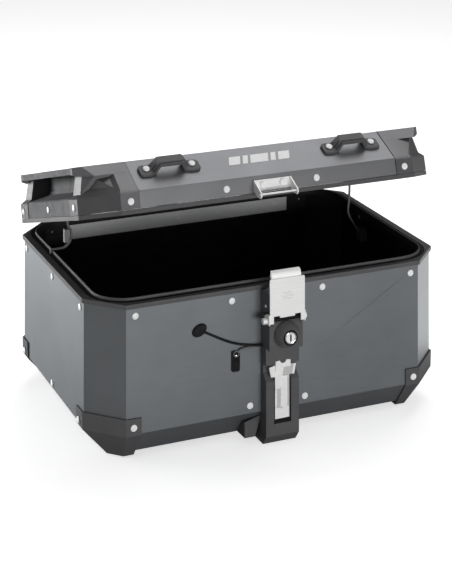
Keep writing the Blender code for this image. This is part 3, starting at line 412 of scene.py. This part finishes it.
class Shape:
    """Vertices and faces collected from simple closed solids."""

    def __init__(self):
        self.points = []
        self.faces = []

    def add(self, points, faces, place=None):
        start = len(self.points)
        place = place or Matrix()
        self.points += [place @ Vector(p) for p in points]
        self.faces += [[start + i for i in face] for face in faces]
        return self

    def loft(self, rings, place=None, closed=False):
        """Skin over equal rings, capped at both ends unless the rings run round in a loop."""
        n = len(rings[0])
        faces = []
        spans = len(rings) if closed else len(rings) - 1
        for k in range(spans):
            a, b = k * n, (k + 1) % len(rings) * n
            faces += [[a + i, a + (i + 1) % n, b + (i + 1) % n, b + i] for i in range(n)]
        if not closed:
            faces += [list(range(n))[::-1], [(len(rings) - 1) * n + i for i in range(n)]]
        return self.add([p for ring in rings for p in ring], faces, place)

    def block(self, low, high, place=None):
        (x0, y0, z0), (x1, y1, z1) = low, high
        rings = [[(x0, y0, z), (x1, y0, z), (x1, y1, z), (x0, y1, z)] for z in (z0, z1)]
        return self.loft(rings, place)

    def turned(self, profile, sides, place=None):
        """Solid of revolution about Z from (radius, height) pairs; both end radii are above zero."""
        rings = [[(r * cos(2 * pi * i / sides), r * sin(2 * pi * i / sides), h) for i in range(sides)]
                 for r, h in profile]
        return self.loft(rings, place)

    def tube(self, points, radius, sides=10, steps=5):
        """Round cord through the points, smoothed between them."""
        points = [Vector(p) for p in points]
        padded = [2 * points[0] - points[1]] + points + [2 * points[-1] - points[-2]]
        path = []
        for k in range(1, len(padded) - 2):
            a, b, c, d = padded[k - 1:k + 3]
            for i in range(steps):
                t = i / steps
                path.append(0.5 * (2 * b + (c - a) * t + (2 * a - 5 * b + 4 * c - d) * t * t
                                   + (3 * b - 3 * c + d - a) * t ** 3))
        path.append(points[-1])
        across = (path[1] - path[0]).orthogonal().normalized()
        rings = []
        for i, point in enumerate(path):
            ahead = (path[min(i + 1, len(path) - 1)] - path[max(i - 1, 0)]).normalized()
            across = (across - ahead * across.dot(ahead)).normalized()
            other = ahead.cross(across)
            turns = [2 * pi * j / sides for j in range(sides)]
            rings.append([point + radius * (cos(a) * across + sin(a) * other) for a in turns])
        return self.loft(rings)


def facing(point, outward):
    """Matrix that puts a shape made about +Z on a point, facing outward."""
    turn = Vector((0, 0, 1)).rotation_difference(Vector(outward)).to_matrix().to_4x4()
    return Matrix.Translation(point) @ turn


def make(name, shape, finish, body=None, replaced=(), edge=0.0, smooth=True, place=None):
    """Turn a shape into a finished piece on a body."""
    mesh = bpy.data.meshes.new(name)
    points = [place @ p for p in shape.points] if place else shape.points
    mesh.from_pydata([tuple(p) for p in points], [], shape.faces)
    bm = bmesh.new()
    bm.from_mesh(mesh)
    bmesh.ops.recalc_face_normals(bm, faces=bm.faces)
    bm.to_mesh(mesh)
    bm.free()
    obj = bpy.data.objects.new(name, mesh)
    bpy.context.scene.collection.objects.link(obj)
    paint(obj, finish)
    if not smooth:
        mesh.shade_flat()
    if edge:
        soften(obj, edge)
    if body:
        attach(obj, body)
    if replaced:
        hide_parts(*replaced)
    return obj


# Profile of a rivet head, as shares of its radius and its rise.
DOME = [(1.0, 0.0), (1.0, 0.35), (0.97, 0.62), (0.88, 0.84), (0.66, 0.95), (0.32, 0.99), (0.04, 1.0)]


def domes(shape, seats, outward, radius, rise, sides=20):
    for seat in seats:
        shape.turned([(r * radius, h * rise) for r, h in DOME], sides, facing(seat, outward))
    return shape


# ---- rivets -------------------------------------------------------------------------------
def rivet_rows():
    """Domed heads in the rows' true places, each row standing for the plain CAD one."""
    radius, rise, gap, guard = 0.0052, 0.0017, 0.0004, 0.0038
    along, across = (-0.2310, -0.0760, 0.0760, 0.2310), (-0.1400, 0.0, 0.1400)
    end_x, rim_z, foot_z, end_foot_z = 0.2941, 0.2225, 0.059, 0.055
    for side, sign in (("front", -1), ("rear", 1)):
        out = (0, sign, 0)
        y = sign * (-PANEL_Y)
        rim = domes(Shape(), [(x, y + sign * gap, rim_z) for x in along], out, radius, rise)
        make(f"rivet_heads_{side}_rim", rim, FINISHES["rivet"], "case", [f"rivets_{side}_rim"])
        seats = [(x, y + sign * gap, foot_z) for x in (-0.046, 0.046)]
        seats += [(x, y + sign * guard, foot_z) for x in (-0.2345, 0.2345)]
        foot = domes(Shape(), seats, out, radius, rise)
        make(f"rivet_heads_{side}_foot", foot, FINISHES["rivet"], "case", [f"rivets_{side}_foot"])
    for side, sign in (("left", -1), ("right", 1)):
        out = (sign, 0, 0)
        rim = domes(Shape(), [(sign * (end_x + gap), y, rim_z) for y in across], out, radius, rise)
        make(f"rivet_heads_{side}_rim", rim, FINISHES["rivet"], "case", [f"rivets_{side}_rim"])
        seats = [(sign * (end_x + gap), 0, end_foot_z)]
        seats += [(sign * (end_x + guard), y, end_foot_z) for y in (-0.142, 0.142)]
        foot = domes(Shape(), seats, out, radius, rise)
        make(f"rivet_heads_{side}_foot", foot, FINISHES["rivet"], "case", [f"rivets_{side}_foot"])

    lid_y, lid_x, height, cap, plate, cap_from = 0.2088, 0.2963, 0.2595, 0.0016, 0.0040, 0.12
    for side, sign in (("front", -1), ("rear", 1)):
        middle = plate if side == "rear" else gap
        seats = [(x, sign * (lid_y + (cap if abs(x) > cap_from else middle)), height) for x in along]
        if side == "front":
            seats += [(x, -lid_y - plate, height) for x in (-0.0165, 0.0165)]
        heads = domes(Shape(), seats, (0, sign, 0), radius, rise)
        make(f"lid_rivet_heads_{side}", heads, FINISHES["rivet"], "lid", [f"lid_rivets_{side}"],
             place=OPENING)
        seats = [slope_point(sx * HANDLE_X + sy * 0.0372, HANDLE_UP, 0.0049)
                 for sx in (-1, 1) for sy in (-1, 1)]
        flip = Matrix.Diagonal((1, -sign, 1, 1))
        heads = domes(Shape(), [flip @ p for p in seats], flip @ OFF_SLOPE, 0.0055, 0.0024)
        make(f"handle_rivet_heads_{side}", heads, FINISHES["rivet"], "lid",
             [f"handle_rivets_{side}"], place=OPENING)
    for side, sign in (("left", -1), ("right", 1)):
        seats = [(sign * (lid_x + (cap if abs(y) > cap_from else gap)), y, height) for y in across]
        heads = domes(Shape(), seats, (sign, 0, 0), radius, rise)
        make(f"lid_rivet_heads_{side}", heads, FINISHES["rivet"], "lid", [f"lid_rivets_{side}"],
             place=OPENING)


def slope_point(x, up, proud):
    """Point on the front slope of the closed lid."""
    return SLOPE_FOOT + Vector((x, 0, 0)) + UP_SLOPE * up + OFF_SLOPE * proud


# ---- tie-down handles ---------------------------------------------------------------------
def inset_u(u, share):
    """Distance along a handle's foot, drawn in toward the foot's middle by a share."""
    middle = 0.0360
    return middle + (u - middle) * share


def handles():
    """Bridge with a grooved front edge on two thick rounded feet."""
    outer = [(-0.0300, 0.0010), (-0.0205, 0.0185), (0.0205, 0.0185), (0.0300, 0.0010)]
    inner = [(0.0215, 0.0010), (0.0160, 0.0132), (-0.0160, 0.0132), (-0.0215, 0.0010)]
    lip_outer = [(-0.0285, 0.0010), (-0.0190, 0.0165), (0.0190, 0.0165), (0.0285, 0.0010)]
    lip_inner = [(0.0225, 0.0010), (0.0170, 0.0120), (-0.0170, 0.0120), (-0.0225, 0.0010)]
    foot = [(0.0225, -0.0105), (0.0330, -0.0140), (0.0450, -0.0135), (0.0490, -0.0105), (0.0495, 0.0050),
            (0.0470, 0.0090), (0.0420, 0.0102), (0.0240, 0.0095)]
    ramp = [(0.0215, 0.0030), (0.0325, 0.0030), (0.0215, 0.0172)]
    bridges = ((outer + inner, -0.0058, 0.0085), (lip_outer + lip_inner, -0.0095, -0.0050))
    for side, flip_y in (("front", 1), ("rear", -1)):
        for hand, sign in (("left", -1), ("right", 1)):
            shape = Shape()
            centre = sign * HANDLE_X

            def at(u, v, w):
                p = slope_point(centre + u, HANDLE_UP + v, w + 0.0004)
                return Vector((p.x, flip_y * p.y, p.z))
            for profile, near, far in bridges:
                shape.loft([[at(u, v, w) for u, w in profile] for v in (near, far)])
            for s in (-1, 1):
                shape.loft([[at(s * (inset_u(u, k)), v * k, w) for u, v in foot]
                            for w, k in ((0, 1.0), (0.0030, 1.0), (0.0038, 0.93))])
                shape.loft([[at(s * u, v, w) for u, w in ramp] for v in (-0.0010, 0.0080)])
            make(f"tie_handle_{side}_{hand}", shape, FINISHES["plastic"], "lid",
                 [f"handle_{side}_{hand}"], edge=0.0005, smooth=False, place=OPENING)


# ---- latch details ------------------------------------------------------------------------
def front_point(x, depth, z):
    return (x, PANEL_Y - depth, z)


def front_plate(shape, outline, near, far):
    """Plate parallel to the front panel, between two depths in front of it."""
    return shape.loft([[front_point(x, d, z) for x, z in outline] for d in (near, far)])


def rect(x0, x1, z0, z1):
    return [(x0, z0), (x1, z0), (x1, z1), (x0, z1)]


def release_lever():
    """T-shaped lever: core in a darker copy of the plating as painted shade in the recesses, with bright
    raised ribs and a scalloped crown.
    """
    half = 0.0124
    core = Shape()
    front_plate(core, rect(-half, half, 0.0400, 0.1215), 0.0105, 0.0172)
    wings = [(-0.0222, 0.1190), (-0.0190, 0.1042), (0.0190, 0.1042), (0.0222, 0.1190), (half, 0.1210),
             (-half, 0.1210)]
    front_plate(core, wings, 0.0140, 0.0178)
    core.turned([(0.0021, -0.0160), (0.0021, 0.0160)], 14, facing((0, PANEL_Y - 0.009, 0.043), (1, 0, 0)))
    make("release_core", core, RECESS_SHADE_CAST, "release_lever", ["release_lever"],
         edge=FINE_EDGE, smooth=False)
    ribs = Shape()
    for outline in (rect(-half, 0.0006, 0.0850, 0.1140), rect(0.0004, 0.0082, 0.0560, 0.1040),
                    rect(-half, -0.0092, 0.0400, 0.0860), rect(-0.0034, 0.0006, 0.0550, 0.0860),
                    rect(-0.0094, 0.0108, 0.0400, 0.0565)):
        front_plate(ribs, outline, 0.0170, 0.0190)
    left = [(-0.0225, 0.1195), (-0.0192, 0.1040), (-0.0122, 0.1040), (-0.0122, 0.1215)]
    right = [(0.0158, 0.1055), (0.0192, 0.1040), (0.0225, 0.1195), (0.0180, 0.1206)]
    for outline in (left, right):
        front_plate(ribs, outline, 0.0176, 0.0194)
    scallop = [(0.0052 * cos(a), 0.1288 - 0.0046 * sin(a)) for a in (pi * i / 8 for i in range(9))]
    crown = [(-half, 0.1130), (0.0006, 0.1130), (0.0006, 0.1180), (half, 0.1180), (half, 0.1280)]
    front_plate(ribs, crown + scallop + [(-half, 0.1280)], 0.0188, 0.0212)
    make("release_ribs", ribs, CAST_BRIGHT, "release_lever", edge=FINE_EDGE, smooth=False)


def key_lock():
    """Black collar round the key cylinder, and a near-black block in the keyway of its face as painted
    shade.
    """
    centre = (0, PANEL_Y - 0.032, 0.172)
    place = facing(centre, (0, -1, 0))
    section = [(0.0097, 0.0150), (0.0116, 0.0150), (0.0119, 0.0163), (0.0113, 0.0174), (0.0103, 0.0176),
               (0.0097, 0.0170)]
    turns = [2 * pi * i / 32 for i in range(32)]
    rings = [[(r * cos(a), r * sin(a), h) for r, h in section] for a in turns]
    make("lock_collar", Shape().loft(rings, place, closed=True), GLOSS_BLACK, "case")
    ring = [(0.0072, 0.0158), (0.0090, 0.0158), (0.0090, 0.0168), (0.0084, 0.0171), (0.0072, 0.0166)]
    rings = [[(r * cos(a), r * sin(a), h) for r, h in ring] for a in turns]
    make("cylinder_rim", Shape().loft(rings, place, closed=True), FINISHES["chrome"], "key_lock")
    disc = Shape().turned([(0.0074, 0.0160), (0.0074, 0.0166), (0.0002, 0.0167)], 28, place)
    make("cylinder_face", disc, CAST_BRIGHT, "key_lock", smooth=False)
    # Near-black block inside the keyway: painted shade of the slot.
    slot = Shape().block((-0.00135, PANEL_Y - 0.0490, 0.1668), (0.00135, PANEL_Y - 0.0415, 0.1772))
    make("keyway", slot, SHADE_BLACK, "key_lock", edge=0.0002, smooth=False)


def cover_relief():
    """Three shallow rippled ridges on the latch cover, and the screws of its bracket."""
    relief = Shape()
    depth, middle, wave = 0.0369, 0.2325, 0.0013
    shares = [i / 5 - 1 for i in range(11)]
    for k, (reach, rise) in enumerate(((0.0075, 0.0042), (0.0105, 0.0), (0.0075, -0.0042))):
        points = [front_point(reach * t, depth, middle + rise + wave * sin(5.5 * t + k)) for t in shares]
        relief.tube(points, 0.00055, 8, 3)
    make("cover_relief", relief, PRESSED, "latch_lever")
    screws = Shape()
    for sign in (-1, 1):
        domes(screws, [front_point(sign * 0.0283, 0.0205, 0.2145)], (sign, 0, 0), 0.0022, 0.0012, 14)
    make("bracket_screws", screws, FINISHES["rivet"], "case")


# ---- cords --------------------------------------------------------------------------------
def tether():
    """Thin black cord from the lock block to a flat black oval on the panel, and the strap with its clip."""
    path = [(-0.0285, 0.1500), (-0.0434, 0.1515), (-0.0534, 0.1531), (-0.0666, 0.1565), (-0.0797, 0.1613),
            (-0.0961, 0.1692), (-0.1124, 0.1781), (-0.1250, 0.1848)]
    depth = [0.0060, 0.0034, 0.0026, 0.0024, 0.0024, 0.0026, 0.0030, 0.0040]
    cord = Shape().tube([front_point(x, d, z) for (x, z), d in zip(path, depth)], 0.0018)
    make("tether", cord, FINISHES["rubber"], "case", ["tether_cord"])
    # Flat black oval resting on the panel at the cord's end.
    dark_disc = Shape()
    tilt = Matrix.Rotation(radians(27), 4, "Z")
    oval = Matrix.Diagonal((1.0, 0.72, 1, 1))
    place = facing(front_point(-0.1290, 0.0004, 0.1862), (0, -1, 0)) @ tilt @ oval
    cushion = [(0.0122, 0), (0.0124, 0.0016), (0.0108, 0.0036), (0.0072, 0.0048), (0.0006, 0.0052)]
    dark_disc.turned(cushion, 24, place)
    make("tether_dark_disc", dark_disc, FINISHES["rubber"], "case")

    strap = [(-0.0290, 0.1478), (-0.0487, 0.1488), (-0.0620, 0.1476), (-0.0672, 0.1440)]
    loops = Shape().tube([front_point(x, 0.0032, z) for x, z in strap], 0.0019)
    ring = [(0.0042 * cos(a), 0.0042 * sin(a)) for a in (2 * pi * i / 14 for i in range(15))]
    loops.tube([front_point(-0.0700 + u, 0.0040, 0.1425 + v) for u, v in ring], 0.0009, 8, 2)
    make("tether_strap", loops, FINISHES["cord"], "case")
    body = Shape()
    outline = [(-0.0767, 0.1172), (-0.0748, 0.1151), (-0.0655, 0.1151), (-0.0635, 0.1172), (-0.0635, 0.1436),
               (-0.0767, 0.1472)]
    front_plate(body, outline, 0.0006, 0.0034)
    make("tether_clip_plate", body, FINISHES["rubber"], "case", ["tether_clip"], edge=0.0006,
         smooth=False)
    tongue = Shape()
    outline = [(-0.0740, 0.1180), (-0.0662, 0.1180), (-0.0662, 0.1330), (-0.0740, 0.1345)]
    front_plate(tongue, outline, 0.0032, 0.0046)
    make("tether_clip_tongue", tongue, GLOSS_BLACK, "case", edge=0.0005, smooth=False)
    stud = domes(Shape(), [front_point(-0.0700, 0.0034, 0.1395)], (0, -1, 0), 0.0022, 0.0014, 14)
    make("tether_clip_stud", stud, FINISHES["chrome"], "case")


def lid_stays():
    """Slack cords from anchors on the side walls to the lid; the left one has a clamp.

    They run between the two bodies and are attached to neither.
    """
    left = [(-0.2745, 0.0500, 0.2020), (-0.2790, 0.0510, 0.2250), (-0.2803, 0.0530, 0.2440),
            (-0.2701, 0.0545, 0.2455), (-0.2571, 0.0550, 0.2463), (-0.2477, 0.0550, 0.2549),
            (-0.2458, 0.0550, 0.2708), (-0.2515, 0.0545, 0.2823), (-0.2525, 0.0540, 0.3000)]
    right = [(0.2745, 0.0500, 0.2020), (0.2640, 0.0520, 0.2190), (0.2545, 0.0545, 0.2386),
             (0.2565, 0.0550, 0.2609), (0.2574, 0.0550, 0.2832), (0.2560, 0.0540, 0.3000)]
    for hand, points in (("left", left), ("right", right)):
        cord = Shape().tube(points, 0.0019)
        stay = make(f"stay_{hand}", cord, FINISHES["cord"], replaced=[f"lid_stay_{hand}"])
        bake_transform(stay)
    clamp = Shape().block((-0.2580, 0.0505, 0.2540), (-0.2496, 0.0595, 0.2755))
    held = make("stay_clamp_left", clamp, CLAMP, edge=0.0008, smooth=False)
    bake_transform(held)


# ---- rail inside the rear wall ------------------------------------------------------------
def rear_rail():
    """Strip along the inside of the rear wall, with its screws and two on the side walls."""
    rail = Shape().block((-0.2050, 0.2000, 0.2070), (0.2050, 0.2022, 0.2320))
    make("rear_rail", rail, RAIL, "case", edge=0.0005, smooth=False)
    seats = [(x, 0.2000, 0.2195) for x in (-0.1500, -0.0030, 0.0700, 0.1800)]
    screws = domes(Shape(), seats, (0, -1, 0), 0.0036, 0.0018, 16)
    domes(screws, [(-0.2905, 0.1620, 0.2135)], (1, 0, 0), 0.0042, 0.0020, 16)
    domes(screws, [(0.2905, 0.0800, 0.2195)], (-1, 0, 0), 0.0036, 0.0018, 16)
    make("rail_screws", screws, FINISHES["rivet"], "case")


# ---- plain marks --------------------------------------------------------------------------
def lid_mark():
    """A row of slanted bars printed on the front slope of the lid."""
    bars = Shape()
    low, high, lean = 0.0305, 0.0490, 0.0065
    x, gap = -0.0580, 0.0045
    for width in (0.0190, 0.0085, 0.0300, 0.0085, 0.0190):
        outline = [(x, low), (x + width, low), (x + width + lean, high), (x + lean, high)]
        bars.loft([[slope_point(u, v, w) for u, v in outline] for w in (0.0001, 0.0004)])
        x += width + gap
    make("lid_mark", bars, MARK, "lid", smooth=False, place=OPENING)


def shade_bolt():
    """Only the ends of the pivot bolt keep its finish; its shank is near black, painted shade in the gap
    under the latch cover.
    """
    mesh = nodes["pivot_bolt"].data
    mesh.materials.append(SHADE_BLACK)
    for polygon in mesh.polygons:
        if abs(polygon.center.x) < 0.0300:
            polygon.material_index = 1


def darken_faces():
    """Flat shading and a near-black inside on the folded sheets, and darker finishes on some faces of other
    parts, by their direction.
    """
    for name in ("body_shell", "lid_panel", "lid_end_left", "lid_end_right"):
        mesh = nodes[name].data
        mesh.shade_flat()
        mesh.materials.append(INSIDE_DARK)
        centre = Vector((0, 0, 0.13)) if name == "body_shell" else Vector((0, 0.03, 0.24))
        for polygon in mesh.polygons:
            if polygon.normal.dot(polygon.center - centre) < 0:
                polygon.material_index = 1
    # The lid panel's end faces get the darker end finish: painted shade of the end recesses.
    panel = nodes["lid_panel"].data
    panel.materials.append(END_DULL_AND_SHADE)
    for polygon in panel.polygons:
        if abs(polygon.normal.x) > 0.5 and polygon.material_index == 0:
            polygon.material_index = 2
    # The caps' side faces get the plain, duller plastic: painted shade against the brighter satin of their
    # other faces.
    for name in (n for n in nodes if n.startswith("lid_cap")):
        cap = nodes[name].data
        cap.materials.append(FINISHES["plastic"])
        for polygon in cap.polygons:
            if abs(polygon.normal.x) > 0.8:
                polygon.material_index = 1
    # The rim's faces toward the inside of the case are near black.
    rim = nodes["rim_frame"].data
    rim.materials.append(INNER_RIM)
    for polygon in rim.polygons:
        if abs(polygon.normal.z) < 0.5 and polygon.normal.xy.dot(polygon.center.xy) < 0:
            polygon.material_index = 1


darken_faces()
shade_bolt()
rivet_rows()
handles()
release_lever()
key_lock()
cover_relief()
tether()
lid_stays()
rear_rail()
lid_mark()
studio()
lights()
camera()

bpy.context.view_layer.update()
